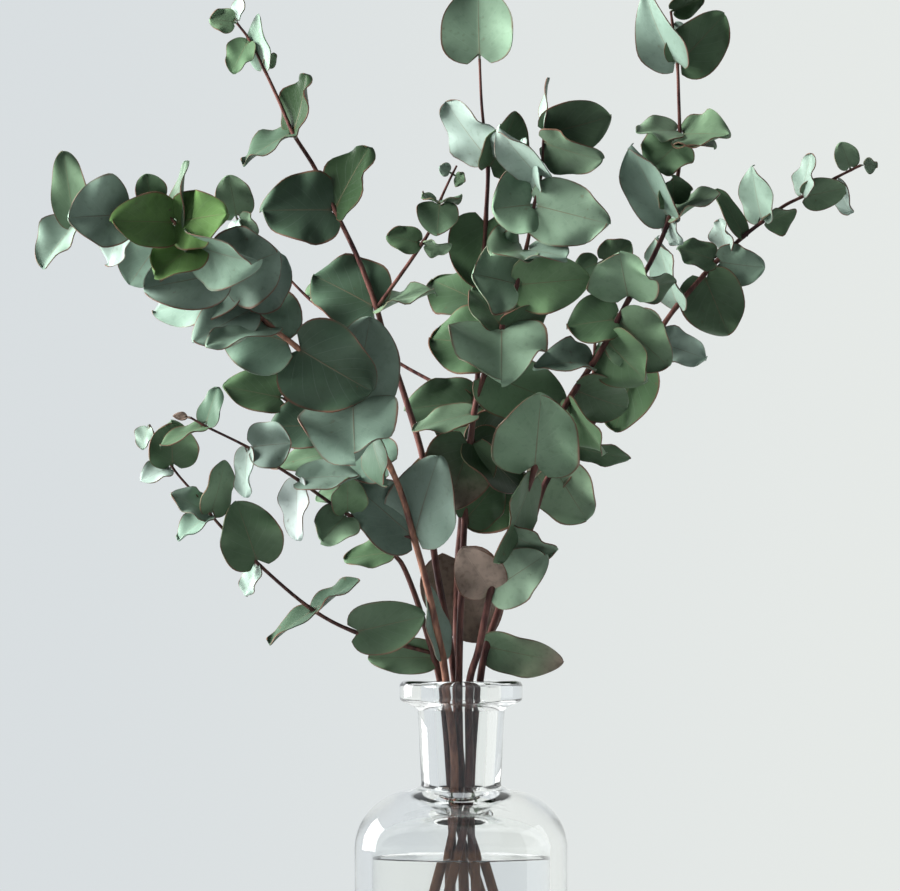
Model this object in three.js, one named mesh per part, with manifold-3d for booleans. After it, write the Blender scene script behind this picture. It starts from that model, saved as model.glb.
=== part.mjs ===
// Seven leafy eucalyptus stems standing in a clear glass bottle of water.
// Millimetres, +Z up. The origin is the centre of the bottle's flat underside, and -Y faces the viewer.

import * as THREE from 'three';
import { mergeVertices } from 'three/addons/utils/BufferGeometryUtils.js';
import Module from 'manifold-3d';

const wasm = await Module();
wasm.setup();

// Driving dimensions of the bottle
const BOTTLE_HEIGHT = 195;
const BODY_RADIUS = 50;
const BODY_TOP = 116;
const SHOULDER_TOP = 144;
const NECK_RADIUS_LOW = 18.7;
const NECK_RADIUS_HIGH = 20.5;
const NECK_TOP = 182.5;
const LIP_RADIUS = 29;
const LIP_ROUNDING = 3;
const LIP_UNDERCUT = 2;
const FOOT_ROUNDING = 4;
const GLASS_WALL = 8;
const FLOOR_THICKNESS = 9;
const BORE_RADIUS_LOW = 10.5;
const BORE_RADIUS_HIGH = 13;
const MOUTH_FLARE = 1.5;
const NECK_FOOT_RISE = 3;
const NECK_FOOT_FILLET = 1.5;
const SHOULDER_SWEEP = 84;
const LIP_SWEEP = 80;
const QUARTER_TURN = 90;
const EDGE_STEPS = 2;
const SHOULDER_STEPS = 5;
const CAVITY_STEPS = 4;

// Driving dimensions of the water and the foliage
const WATER_LEVEL = 112.5;
const TOUCH_GAP = 0.3;
const HOLE_CLEARANCE = 0.4;
const LATHE_SIDES = 24;
const STEM_RADIUS = 1.9;
const STEM_TIP_RADIUS = 0.75;
const TWIG_RADIUS = 1.05;
const TWIG_TIP_RADIUS = 0.7;
const STEM_SIDES = 5;
const TWIG_SIDES = 4;
const BLADE_THICKNESS = 0.7;

// A blade's half width along its midrib, as shares of its length and of half its width
const BLADE_STATIONS = [
  { along: 0.13, half: 0.74 },
  { along: 0.42, half: 1.0 },
  { along: 0.84, half: 0.6 },
];
const BASE_NOTCH = 0.13;

// Corners nearer than this are one corner
const WELD_DISTANCE = 1e-4;

// Colours as sRGB
const GLASS_COLOUR = 0xe6eef0;
const WATER_COLOUR = 0xdce8ea;
const LEAF_GREEN = 0x4c6654;
const LEAF_BLUE_GREEN = 0x5d7a70;

// How rough each surface is
const GLASS_ROUGHNESS = 0.03;
const WATER_ROUGHNESS = 0.02;
const LEAF_ROUGHNESS = 0.55;

// Stem routes: millimetres right of the bottle's axis, behind it, and above the lip.
// A blade is given by its place on the route, counted in points, then its heading in the picture plane
// (0 right, 90 up), lean towards the viewer, roll about the midrib, length, width, fold and curl.
const STEM_LEFT_TALL = {
  name: 'stem_left_tall',
  colour: LEAF_BLUE_GREEN,
  route: [
    [26, 17, -176], [-1.9, 4.4, -56], [-3, 4, 0], [-13, 8, 62], [-17, 12, 100],
    [-26, 18, 132],
    [-37, 26, 165], [-40, 28, 176], [-49, 32, 200], [-60, 36, 223],
    [-70, 40, 244], [-80, 42, 260],
    [-87, 44, 276], [-94, 45, 291], [-101, 46, 305], [-107, 46, 313],
  ],
  blades: [
    [15, 170, 10, 20, 13, 13, 8, 10],
    [15, 85, 0, -60, 13, 11, 8, 10],
    [14, 240, 10, 30, 18, 15, 8, 10],
    [13, 100, 10, -50, 26, 18, 10, 10],
    [13, 55, 0, 40, 9, 8, 8, 0],
    [11, 203, 10, 68, 28, 26, 10, 20],
    [11, 70, 10, -60, 29, 26, 10, -15],
    [9, 180, 15, 10, 35, 36, 8, 10],
    [9, 64, 20, -45, 35, 28, 12, 10],
    [7, 150, -10, 24, 35, 38, 6, 10],
    [7, 20, 10, -66, 29, 28, 8, 10],
  ],
  twigs: [
    {
      route: [
        [-40, 28, 176], [-20, 22, 204], [-14, 20, 214], [-10, 18, 226], [-6, 17, 235],
        [-2, 16, 243],
      ],
      blades: [
        [4.5, 150, 10, 20, 7, 8, 5, 0],
        [4.5, 330, 10, 40, 7, 8, 5, 0],
        [3, 165, 30, 75, 10, 12, 8, 0],
        [3, 15, 30, 75, 12, 12, 8, 0],
        [3, 265, 30, 5, 18, 20, 6, 10],
        [1.2, 165, 10, 20, 17, 14, 8, 10],
        [1.2, 350, 10, 60, 14, 13, 8, 10],
      ],
    },
  ],
};

const STEM_LEFT_FRONT = {
  name: 'stem_left_front',
  colour: LEAF_GREEN,
  route: [
    [-28, 13, -182], [-3.1, -4.4, -56], [-7, -6.5, 0], [-12, -12, 27],
    [-17, -16, 49], [-22, -20, 67],
    [-27, -26, 85], [-33, -32, 100], [-50, -44, 129], [-76, -56, 155],
    [-85, -60, 162], [-96, -64, 172],
    [-109, -70, 188], [-121, -76, 201], [-131, -80, 211], [-141, -84, 219],
    [-152, -87, 214],
    [-176, -87, 210],
  ],
  blades: [
    [17, 100, -5, -15, 34, 18, 10, 5],
    [17, 230, 5, 40, 25, 20, 25, 10],
    [16, 183, 24, 10, 28, 32, 8, 10],
    [16, 242, -34, 30, 30, 20, 10, 10],
    [15, 100, 5, 15, 14, 15, 8, 10],
    [13.8, 88, 4, -58, 30, 18, 10, 10],
    [14, 180, 35, 5, 32, 26, 8, 10],
    [14, 8, 40, -8, 30, 28, 8, 10],
    [13, 215, 30, 30, 26, 26, 8, 10],
    [13, 334, 45, 45, 37, 30, 20, 20],
    [14, 230, -33, 10, 44, 30, 8, 10],
    [12, 190, 5, 8, 37, 32, 8, 10],
    [11.6, 192, -32, 20, 49, 28, 8, 10],
    [12, 20, 25, 5, 29, 38, 8, 10],
    [11.4, 40, -10, 10, 28, 30, 8, 10],
    [11, 208, 12, 15, 31, 24, 8, 10],
    [10.2, 190, 42, 58, 38, 20, 10, 15],
    [9.2, 163, -10, 5, 36, 42, 8, 10],
    [9, 328, 8, 12, 40, 44, 8, 15],
    [8, 78, 0, 10, 41, 36, 8, 10],
    [8, 272, 50, 5, 36, 47, 8, 15],
    [7.6, 282, 32, 52, 31, 20, 10, 10],
    [7, 160, -34, 15, 30, 26, 8, 10],
    [5, 138, 8, 12, 38, 32, 8, 10],
    [5, 75, 14, -20, 40, 36, 8, 10],
    [2.4, 100, 6, 45, 34, 14, 10, 5],
  ],
  twigs: [
    {
      route: [
        [-22, -20, 67], [-35, -22, 69], [-53, -24, 78], [-76, -26, 94],
        [-87, -27, 101], [-99, -28, 109],
        [-119, -29, 119], [-126, -29, 123],
      ],
      blades: [
        [7, 175, 0, 30, 8, 4, 10, 0],
        [6, 74, 10, -32, 19, 14, 10, 10],
        [6, 200, 10, 62, 23, 17, 10, 10],
        [5, 8, 0, -30, 20, 28, 8, 10],
        [5, 262, 0, 55, 23, 16, 10, 10],
        [3, 8, 15, -45, 29, 22, 10, 15],
        [3, 266, 5, 45, 28, 19, 10, 10],
        [2, 88, 38, 15, 20, 17, 8, 10],
        [2, 225, 35, 15, 20, 22, 8, 10],
      ],
    },
  ],
};

const STEM_LEFT_LOW = {
  name: 'stem_left_low',
  colour: LEAF_GREEN,
  route: [
    [-3, 31, -174], [-4.8, 0.4, -56], [-10, 0, 0], [-16, -1, 22], [-22, 0, 41],
    [-28, 3, 55], [-32, 5, 60],
    [-47, 10, 94], [-66, 14, 120], [-84, 16, 133],
  ],
  blades: [
    [9, 168, 10, 15, 29, 22, 8, 10],
    [8, 180, 10, 20, 24, 27, 8, 10],
    [7.5, 190, -10, 35, 36, 15, 8, 10],
    [7, 200, -10, 35, 24, 17, 8, 10],
    [6, 185, -10, 35, 24, 17, 8, 10],
    [2.45, 180, 5, 5, 31, 17.5, 8, 10],
  ],
  twigs: [
    {
      route: [
        [-14, -0.6, 13], [-50, -8, 23], [-69, -12, 33], [-95, -16, 55],
        [-110, -18, 70], [-117, -19, 78],
        [-124, -17, 87], [-135, -14, 100], [-146, -12, 120],
      ],
      blades: [
        [1, 12, 15, 10, 34, 26, 8, 10],
        [2, 38, 10, -64, 26, 18, 10, 10],
        [2, 212, 10, 65, 26, 20, 10, 10],
        [3, 108, 15, 10, 31, 30, 8, 10],
        [3, 245, 0, 50, 16, 14, 10, 10],
        [5, 72, 10, 35, 26, 18, 10, 10],
        [5, 150, 15, 40, 21, 17, 10, 10],
        [5, 215, 20, 50, 20, 16, 10, 10],
        [7, 90, 20, 10, 22, 24, 8, 10],
        [7, 200, 15, 40, 16, 14, 8, 10],
        [8, 250, 10, 40, 12, 10, 8, 10],
      ],
    },
  ],
};

const STEM_CENTRE_BACK = {
  name: 'stem_centre_back',
  colour: LEAF_BLUE_GREEN,
  route: [
    [30, -10, -172], [2.5, 4.6, -56], [-2, 9.5, 0], [-1, 22, 61], [3, 32, 99],
    [7, 40, 132], [10, 48, 179],
    [12, 54, 220], [13, 57, 244], [12, 58, 255], [10, 59, 275], [9, 60, 297],
  ],
  blades: [
    [11, 92, 0, -14, 35, 37, 8, 10],
    [8.5, 130, 8, -46, 33, 31, 8, 10],
    [8, 58, 15, 30, 30, 24, 25, 20],
    [7, 262, 10, 5, 34, 33, 8, 10],
    [6, 150, -35, 30, 34, 32, 8, 10],
    [6, 20, -20, 30, 34, 32, 8, 10],
    [5, 185, 10, 20, 34, 26, 8, 10],
    [5, 225, -25, 15, 28, 26, 8, 10],
    [4.4, 30, -10, 35, 34, 30, 8, 10],
    [4, 335, -12, 35, 36, 32, 8, 10],
    [4, 200, -5, 15, 34, 30, 8, 10],
    [3.5, 20, 0, 10, 36, 30, 8, 10],
    [2.95, 285, 0, 5, 42, 40, 8, 10],
  ],
  twigs: [
    {
      route: [
        [6, 38, 124], [-5, 42, 136], [-30, 52, 151], [-64, 62, 175], [-73, 64, 182],
        [-100, 70, 211],
        [-108, 72, 221],
      ],
      blades: [
        [6, 100, 10, 10, 21, 20, 8, 10],
        [6, 320, 20, 30, 13, 15, 8, 10],
        [6, 262, 20, 50, 12, 13, 8, 10],
        [4, 50, 0, -55, 20, 15, 8, 10],
      ],
    },
  ],
};

const STEM_CENTRE_FRONT = {
  name: 'stem_centre_front',
  colour: LEAF_GREEN,
  route: [
    [3, 2, -180], [0, 0, -56], [-1, -4, 0], [1, -10, 63], [2, -12, 81],
    [6, -18, 125], [11, -20, 144],
    [19, -22, 165], [26, -24, 185], [31, -26, 205], [34, -27, 222],
    [37, -28, 235], [38.5, -30, 255],
  ],
  blades: [
    [12, 88, -12, -82, 27, 15, 5, 5],
    [12, 12, 5, 20, 32, 26, 8, 15],
    [11.8, 338, 28, 42, 31, 24, 10, 10],
    [11, 139, 35, -50, 33, 22, 15, 15],
    [10, 185, 20, 25, 20, 34, 10, 10],
    [10.5, 110, 5, -60, 25, 20, 10, 10],
    [10, 344, 24, 5, 37, 32, 8, 15],
    [8.8, 185, 45, 60, 22, 26, 10, 10],
    [8.8, 352, 40, -60, 24, 24, 10, 10],
    [8, 165, 20, 30, 22, 40, 8, 10],
    [8, 4, 8, 10, 34, 28, 8, 10],
    [7, 125, -18, 25, 25, 20, 8, 10],
    [7, 15, 0, 40, 22, 18, 8, 10],
    [7, 268, 46, 5, 32, 46, 12, 20],
    [6.6, 172, -15, 15, 32, 36, 8, 10],
    [6, 338, -10, 10, 42, 32, 8, 10],
    [5, 192, 10, 45, 30, 18, 8, 10],
    [4.7, 252, 2, 5, 34, 34, 10, -10],
    [4.7, 318, -8, -35, 33, 30, 8, 10],
    [3.7, 48, 0, 20, 26, 22, 8, 10],
  ],
  twigs: [],
};

const STEM_RIGHT_TALL = {
  name: 'stem_right_tall',
  colour: LEAF_GREEN,
  route: [
    [-23, -21, -182], [2.6, -4.1, -56], [4, -8, 0], [8, -11, 14], [14, -14, 42],
    [24, -18, 71], [29, -20, 84],
    [35, -23, 101], [50, -28, 131], [65, -30, 154], [78, -30, 178],
    [89, -28, 197], [97, -26, 216],
    [100, -24, 230], [102, -22, 244], [102, -21, 255], [101.5, -20, 273], [101, -18, 288],
    [99, -17, 305], [98, -16, 313],
  ],
  blades: [
    [19, 20, 20, 50, 17, 14, 10, 10],
    [18.4, 300, -18, 40, 14, 12, 10, 10],
    [17, 126, 20, -45, 35, 26, 20, 30],
    [17, 46, 15, 10, 32, 27, 8, 10],
    [15.1, 178, 25, 50, 22, 20, 10, 10],
    [15, 2, 30, -50, 25, 26, 10, 10],
    [14.8, 350, 40, -60, 20, 20, 10, 10],
    [14.7, 222, 25, 30, 20, 28, 8, 10],
    [12, 124, 15, -46, 38, 28, 20, 15],
    [12.4, 88, 52, 30, 18, 18, 10, 10],
    [12, 30, 10, -60, 26, 22, 10, 10],
    [12, 285, 20, 60, 14, 14, 10, 10],
    [10, 105, 35, -25, 25, 34, 8, 10],
    [10.3, 4, -28, 45, 22, 16, 8, 10],
    [9.6, 186, 0, 25, 24, 26, 8, 10],
    [9.6, 316, 5, 15, 32, 29, 8, 10],
    [9.2, 312, 18, 25, 27, 28, 8, 10],
    [8.7, 165, 30, 55, 26, 20, 20, 40],
    [8.2, 340, -26, 20, 30, 26, 8, 10],
    [6.9, 86, 35, -6, 39, 42, 8, 15],
    [8, 300, 0, 65, 30, 24, 8, 10],
    [6.6, 252, 12, -55, 42, 24, 10, 10],
    [4, 125, 30, -12, 26, 24, 10, 15],
    [4, 35, 25, -10, 32, 26, 10, 15],
    [4.9, 330, 20, 40, 22, 22, 15, 30],
  ],
  twigs: [],
};

const STEM_RIGHT_FAR = {
  name: 'stem_right_far',
  colour: LEAF_BLUE_GREEN,
  route: [
    [9, -30, -176], [4.8, 0.5, -56], [9, 4, 0], [12, 5, 16], [25, 10, 52],
    [33, 14, 72], [41, 18, 95],
    [62, 26, 121], [84, 34, 150], [101, 38, 175], [112, 40, 188], [122, 42, 199],
    [135, 44, 211],
    [144, 45, 218], [155, 46, 226], [163, 46, 230], [179, 46, 239], [191, 46, 245],
  ],
  blades: [
    [17, 5, 10, 50, 8, 10, 8, 0],
    [16.6, 110, 10, 15, 14, 13, 8, 10],
    [16, 290, -12, 55, 19, 16, 10, 10],
    [15, 10, 15, 15, 22, 16, 8, 10],
    [15, 82, 10, -60, 21, 16, 8, 10],
    [13, 105, 15, -45, 27, 20, 10, 10],
    [13, 15, 10, 60, 17, 16, 10, 10],
    [12, 118, 5, 30, 26, 10, 8, 10],
    [11, 160, 15, 35, 20, 18, 8, 10],
    [11, 350, 15, 20, 23, 22, 8, 10],
    [11.4, 110, 20, -60, 16, 16, 8, 10],
    [10.4, 292, 0, 10, 31, 31, 8, 10],
    [9.2, 112, 20, -60, 35, 24, 10, 10],
    [8.6, 200, -22, 20, 36, 28, 8, 10],
    [8.4, 345, 0, -35, 27, 20, 8, 10],
    [8, 250, 4, 15, 34, 30, 8, 10],
    [6.6, 345, 0, 40, 28, 14, 8, 10],
    [6.5, 228, -8, 20, 28, 22, 8, 10],
    [6.2, 300, -10, 22, 30, 30, 8, 10],
    [3, 347, 15, 20, 37, 21, 8, 10],
  ],
  twigs: [
    {
      route: [
        [62, 26, 121], [64, 44, 160], [67, 52, 199],
      ],
      blades: [
        [2, 200, 10, 20, 14, 13, 8, 10],
        [2, 30, 10, 15, 17, 17, 8, 10],
      ],
    },
  ],
};

const LEAFY_STEMS = [
  STEM_LEFT_TALL,
  STEM_LEFT_FRONT,
  STEM_LEFT_LOW,
  STEM_CENTRE_BACK,
  STEM_CENTRE_FRONT,
  STEM_RIGHT_TALL,
  STEM_RIGHT_FAR,
];

// Closed meshes to solids and back
function toSolid(geometry) {
  const bare = geometry.clone();
  bare.deleteAttribute('normal');
  bare.deleteAttribute('uv');
  const merged = mergeVertices(bare, WELD_DISTANCE);
  const mesh = new wasm.Mesh({
    numProp: 3,
    vertProperties: new Float32Array(merged.attributes.position.array),
    triVerts: new Uint32Array(merged.index.array),
  });
  return new wasm.Manifold(mesh);
}

function toGeometry(solid) {
  const mesh = solid.getMesh();
  const geometry = new THREE.BufferGeometry();
  geometry.setAttribute('position', new THREE.BufferAttribute(new Float32Array(mesh.vertProperties), 3));
  geometry.setIndex(new THREE.BufferAttribute(new Uint32Array(mesh.triVerts), 1));
  geometry.computeVertexNormals();
  return geometry;
}

// A lathe turned to stand on +Z
function turned(profile) {
  const geometry = new THREE.LatheGeometry(profile, LATHE_SIDES);
  geometry.rotateX(Math.PI / 2);
  return geometry;
}

function ellipseArc(centreRadius, centreHeight, across, up, fromDegrees, toDegrees, steps) {
  const points = [];
  for (let step = 0; step <= steps; step += 1) {
    const angle = THREE.MathUtils.degToRad(fromDegrees + ((toDegrees - fromDegrees) * step) / steps);
    const radius = centreRadius + across * Math.cos(angle);
    const height = centreHeight + up * Math.sin(angle);
    points.push(new THREE.Vector2(radius, height));
  }
  return points;
}

function roundedEdge(centreRadius, centreHeight, size, fromDegrees, toDegrees) {
  return ellipseArc(centreRadius, centreHeight, size, size, fromDegrees, toDegrees, EDGE_STEPS);
}

function shoulderArc(radius, reach, rise, steps) {
  return ellipseArc(radius - reach, BODY_TOP, reach, rise, 0, SHOULDER_SWEEP, steps);
}

function bottleOutside() {
  const reach = BODY_RADIUS - NECK_RADIUS_LOW - NECK_FOOT_FILLET;
  const rise = SHOULDER_TOP - BODY_TOP;
  const lipInner = LIP_RADIUS - LIP_ROUNDING;
  const lipLow = NECK_TOP + LIP_UNDERCUT + LIP_ROUNDING;
  const lipHigh = BOTTLE_HEIGHT - LIP_ROUNDING;
  return [
    new THREE.Vector2(0, 0),
    ...roundedEdge(BODY_RADIUS - FOOT_ROUNDING, FOOT_ROUNDING, FOOT_ROUNDING, -QUARTER_TURN, 0),
    ...shoulderArc(BODY_RADIUS, reach, rise, SHOULDER_STEPS),
    new THREE.Vector2(NECK_RADIUS_LOW, SHOULDER_TOP + NECK_FOOT_RISE),
    new THREE.Vector2(NECK_RADIUS_HIGH, NECK_TOP),
    ...roundedEdge(lipInner, lipLow, LIP_ROUNDING, -LIP_SWEEP, 0),
    ...roundedEdge(lipInner, lipHigh, LIP_ROUNDING, 0, QUARTER_TURN),
  ];
}

// The inside, from the floor's centre up to the mouth, drawn back by a gap where the water stands in it
function bottleInside(gap) {
  const radius = BODY_RADIUS - GLASS_WALL - gap;
  const reach = radius - BORE_RADIUS_LOW - NECK_FOOT_FILLET;
  const rise = SHOULDER_TOP - GLASS_WALL - BODY_TOP;
  const floor = FLOOR_THICKNESS + gap;
  return [
    new THREE.Vector2(0, floor),
    ...roundedEdge(radius - FOOT_ROUNDING, floor + FOOT_ROUNDING, FOOT_ROUNDING, -QUARTER_TURN, 0),
    ...shoulderArc(radius, reach, rise, CAVITY_STEPS),
    new THREE.Vector2(BORE_RADIUS_LOW, SHOULDER_TOP),
    new THREE.Vector2(BORE_RADIUS_HIGH, NECK_TOP),
    new THREE.Vector2(BORE_RADIUS_HIGH + MOUTH_FLARE, BOTTLE_HEIGHT),
  ];
}

function makeBottle() {
  const profile = [...bottleOutside(), ...bottleInside(0).reverse()];
  return turned(profile);
}

// Water fills the straight body and ends in a flat surface
function makeWater(holes) {
  const wall = bottleInside(TOUCH_GAP).filter((point) => point.y < WATER_LEVEL);
  const edge = wall[wall.length - 1].x;
  const body = turned([...wall, new THREE.Vector2(edge, WATER_LEVEL), new THREE.Vector2(0, WATER_LEVEL)]);
  let solid = toSolid(body);
  for (const hole of holes) {
    solid = solid.subtract(hole);
  }
  return toGeometry(solid);
}

function routeCurve(route) {
  const lip = new THREE.Vector3(0, 0, BOTTLE_HEIGHT);
  const points = route.map((point) => new THREE.Vector3(...point).add(lip));
  return new THREE.CatmullRomCurve3(points);
}

// A round rod along a route, thinning from its root to its tip, with a ring at each point and closed ends
function makeRod(curve, pointCount, sides, rootRadius, tipRadius) {
  const steps = pointCount - 1;
  const behind = new THREE.Vector3(0, 1, 0);
  const positions = [];
  const indices = [];
  for (let ring = 0; ring <= steps; ring += 1) {
    const centre = curve.getPoint(ring / steps);
    const along = curve.getTangent(ring / steps);
    const aside = new THREE.Vector3().crossVectors(behind, along).normalize();
    const outward = new THREE.Vector3().crossVectors(along, aside);
    const radius = THREE.MathUtils.lerp(rootRadius, tipRadius, ring / steps);
    for (let side = 0; side < sides; side += 1) {
      const angle = (2 * Math.PI * side) / sides;
      const corner = centre.clone();
      corner.addScaledVector(aside, radius * Math.cos(angle));
      corner.addScaledVector(outward, radius * Math.sin(angle));
      positions.push(...corner.toArray());
    }
  }
  for (let ring = 0; ring < steps; ring += 1) {
    for (let side = 0; side < sides; side += 1) {
      const here = ring * sides + side;
      const next = ring * sides + ((side + 1) % sides);
      indices.push(here, next, next + sides, here, next + sides, here + sides);
    }
  }
  const lastRing = steps * sides;
  for (let side = 1; side < sides - 1; side += 1) {
    indices.push(0, side + 1, side);
    indices.push(lastRing, lastRing + side, lastRing + side + 1);
  }
  const geometry = new THREE.BufferGeometry();
  geometry.setAttribute('position', new THREE.Float32BufferAttribute(positions, 3));
  geometry.setIndex(indices);
  return geometry;
}

// The three directions of a blade: along its midrib, across it, and out of its upper face
function bladeAxes(heading, lean, roll) {
  const turn = THREE.MathUtils.degToRad(heading);
  const tilt = THREE.MathUtils.degToRad(lean);
  const along = new THREE.Vector3(
    Math.cos(turn) * Math.cos(tilt),
    -Math.sin(tilt),
    Math.sin(turn) * Math.cos(tilt),
  );
  const toViewer = new THREE.Vector3(0, -1, 0);
  const face = toViewer.addScaledVector(along, -toViewer.dot(along)).normalize();
  face.applyAxisAngle(along, THREE.MathUtils.degToRad(roll));
  const across = new THREE.Vector3().crossVectors(along, face);
  return { along, across, face };
}

// A round blade with a notched base, folded up about its midrib and curled back along it
function makeBlade(base, heading, lean, roll, length, width, fold, curl) {
  const { along, across, face } = bladeAxes(heading, lean, roll);
  const foldRise = Math.tan(THREE.MathUtils.degToRad(fold));
  const curlDrop = Math.tan(THREE.MathUtils.degToRad(curl)) / 2;
  const place = (share, side, shift) => {
    const reach = share * length;
    const out = side * (width / 2);
    const rise = Math.abs(out) * foldRise - curlDrop * length * share * share + shift;
    const point = base.clone();
    return point.addScaledVector(along, reach).addScaledVector(across, out).addScaledVector(face, rise);
  };
  const positions = [];
  for (const shift of [BLADE_THICKNESS / 2, -BLADE_THICKNESS / 2]) {
    positions.push(...place(0, 0, shift).toArray());
    for (const { along: share, half } of BLADE_STATIONS) {
      const edgeShare = share - BASE_NOTCH * (1 - share) ** 2;
      positions.push(...place(edgeShare, -half, shift).toArray());
      positions.push(...place(share, 0, shift).toArray());
      positions.push(...place(edgeShare, half, shift).toArray());
    }
    positions.push(...place(1, 0, shift).toArray());
  }
  return bladeMesh(positions);
}

function bladeMesh(positions) {
  const rows = BLADE_STATIONS.length;
  const tip = 3 * rows + 1;
  const under = tip + 1;
  const upper = [[0, 2, 1], [0, 3, 2], [tip, tip - 3, tip - 2], [tip, tip - 2, tip - 1]];
  for (let row = 0; row < rows - 1; row += 1) {
    const left = 3 * row + 1;
    upper.push([left, left + 1, left + 4], [left, left + 4, left + 3]);
    upper.push([left + 1, left + 2, left + 5], [left + 1, left + 5, left + 4]);
  }
  const rim = [0];
  for (let row = 0; row < rows; row += 1) {
    rim.push(3 * row + 3);
  }
  rim.push(tip);
  for (let row = rows - 1; row >= 0; row -= 1) {
    rim.push(3 * row + 1);
  }
  const indices = [];
  for (const [a, b, c] of upper) {
    indices.push(a, b, c, a + under, c + under, b + under);
  }
  rim.forEach((here, index) => {
    const next = rim[(index + 1) % rim.length];
    indices.push(next, here, here + under, next, here + under, next + under);
  });
  const geometry = new THREE.BufferGeometry();
  geometry.setAttribute('position', new THREE.Float32BufferAttribute(positions, 3));
  geometry.setIndex(indices);
  return geometry;
}

function bladesOn(curve, route, blades) {
  return blades.map(([place, ...pose]) => makeBlade(curve.getPoint(place / (route.length - 1)), ...pose));
}

// One leafy stem: its rod, its twigs and every blade, joined in one solid
function makeLeafyStem(stem) {
  const curve = routeCurve(stem.route);
  const pieces = [makeRod(curve, stem.route.length, STEM_SIDES, STEM_RADIUS, STEM_TIP_RADIUS)];
  pieces.push(...bladesOn(curve, stem.route, stem.blades));
  for (const twig of stem.twigs) {
    const twigCurve = routeCurve(twig.route);
    pieces.push(makeRod(twigCurve, twig.route.length, TWIG_SIDES, TWIG_RADIUS, TWIG_TIP_RADIUS));
    pieces.push(...bladesOn(twigCurve, twig.route, twig.blades));
  }
  const solids = pieces.map(toSolid);
  return toGeometry(wasm.Manifold.union(solids));
}

// The hole that a stem stands in
function makeHole(stem) {
  const root = STEM_RADIUS + HOLE_CLEARANCE;
  const tip = STEM_TIP_RADIUS + HOLE_CLEARANCE;
  const curve = routeCurve(stem.route);
  return toSolid(makeRod(curve, stem.route.length, STEM_SIDES, root, tip));
}

function named(name, geometry, material) {
  const mesh = new THREE.Mesh(geometry, material);
  mesh.name = name;
  return mesh;
}

function surface(color, roughness) {
  return new THREE.MeshStandardMaterial({ color, roughness, metalness: 0 });
}

const group = new THREE.Group();
group.add(named('bottle', makeBottle(), surface(GLASS_COLOUR, GLASS_ROUGHNESS)));
group.add(named('water', makeWater(LEAFY_STEMS.map(makeHole)), surface(WATER_COLOUR, WATER_ROUGHNESS)));
for (const stem of LEAFY_STEMS) {
  group.add(named(stem.name, makeLeafyStem(stem), surface(stem.colour, LEAF_ROUGHNESS)));
}

export default group;
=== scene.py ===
"""Seven leafy eucalyptus stems in a clear glass bottle of water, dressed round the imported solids."""

import math
import random

import bpy
from bpy.props import FloatProperty, FloatVectorProperty, IntProperty, PointerProperty
from bpy.types import Operator, Panel, PropertyGroup
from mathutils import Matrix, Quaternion, Vector


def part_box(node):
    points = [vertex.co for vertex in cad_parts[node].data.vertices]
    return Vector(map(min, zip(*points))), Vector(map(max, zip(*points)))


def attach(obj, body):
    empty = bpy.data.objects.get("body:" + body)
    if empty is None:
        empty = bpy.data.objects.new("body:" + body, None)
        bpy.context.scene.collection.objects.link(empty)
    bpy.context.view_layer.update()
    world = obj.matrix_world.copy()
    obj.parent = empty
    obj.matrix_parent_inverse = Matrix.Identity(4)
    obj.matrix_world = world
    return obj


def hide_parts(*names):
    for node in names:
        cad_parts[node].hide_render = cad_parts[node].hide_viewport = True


bl_info = {
    "name": "Eucalyptus in a bottle",
    "version": (1, 0, 0),
    "blender": (4, 5, 0),
    "location": "3D View > Sidebar > Eucalyptus",
    "description": "Builds leafy eucalyptus stems, their glass bottle and its water",
    "category": "Object",
}

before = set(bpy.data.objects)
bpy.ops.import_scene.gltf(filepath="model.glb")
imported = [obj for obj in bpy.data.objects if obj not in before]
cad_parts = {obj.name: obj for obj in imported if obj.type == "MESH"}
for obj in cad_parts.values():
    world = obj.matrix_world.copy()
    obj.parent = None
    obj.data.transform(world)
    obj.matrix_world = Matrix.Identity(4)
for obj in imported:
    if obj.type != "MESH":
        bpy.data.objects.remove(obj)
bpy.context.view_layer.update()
_, BOTTLE_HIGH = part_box("bottle")
_, WATER_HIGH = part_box("water")

MM = 0.001
BODY = "root"
BOTTLE_HEIGHT = BOTTLE_HIGH.z
BODY_RADIUS = BOTTLE_HIGH.x

# Finishes that a blade may have: how blue, how pale with a waxy coat that is partly painted sheen, how
# dry, and how much painted shade darkens its green
# The fourth number is painted shade, strongest in the shade, dusk and dark finishes; the pale coat of pale
# and white blades is partly painted sheen
FINISHES = {
    "shade": (0.3, 0.0, 0.0, 1.0),
    "dark": (0.45, 0.02, 0.0, 0.58),
    "dusk": (1.0, 0.0, 0.0, 0.7),
    "slate": (1.0, 0.1, 0.0, 0.3),
    "green": (0.4, 0.1, 0.0, 0.15),
    "bright": (0.0, 0.0, 0.0, 0.2),
    "fresh": (0.6, 0.14, 0.0, 0.0),
    "blue": (0.85, 0.18, 0.0, 0.1),
    "pale": (0.95, 0.36, 0.0, 0.0),
    "white": (1.0, 0.85, 0.0, 0.0),
    "dry": (0.2, 0.0, 1.0, 0.3),
    "tipped": (0.3, 0.03, 0.55, 0.7),
    "turning": (0.4, 0.1, 0.54, 0.15),
}
LOOKS = ("tone", "bloom", "dry", "deep")

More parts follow.
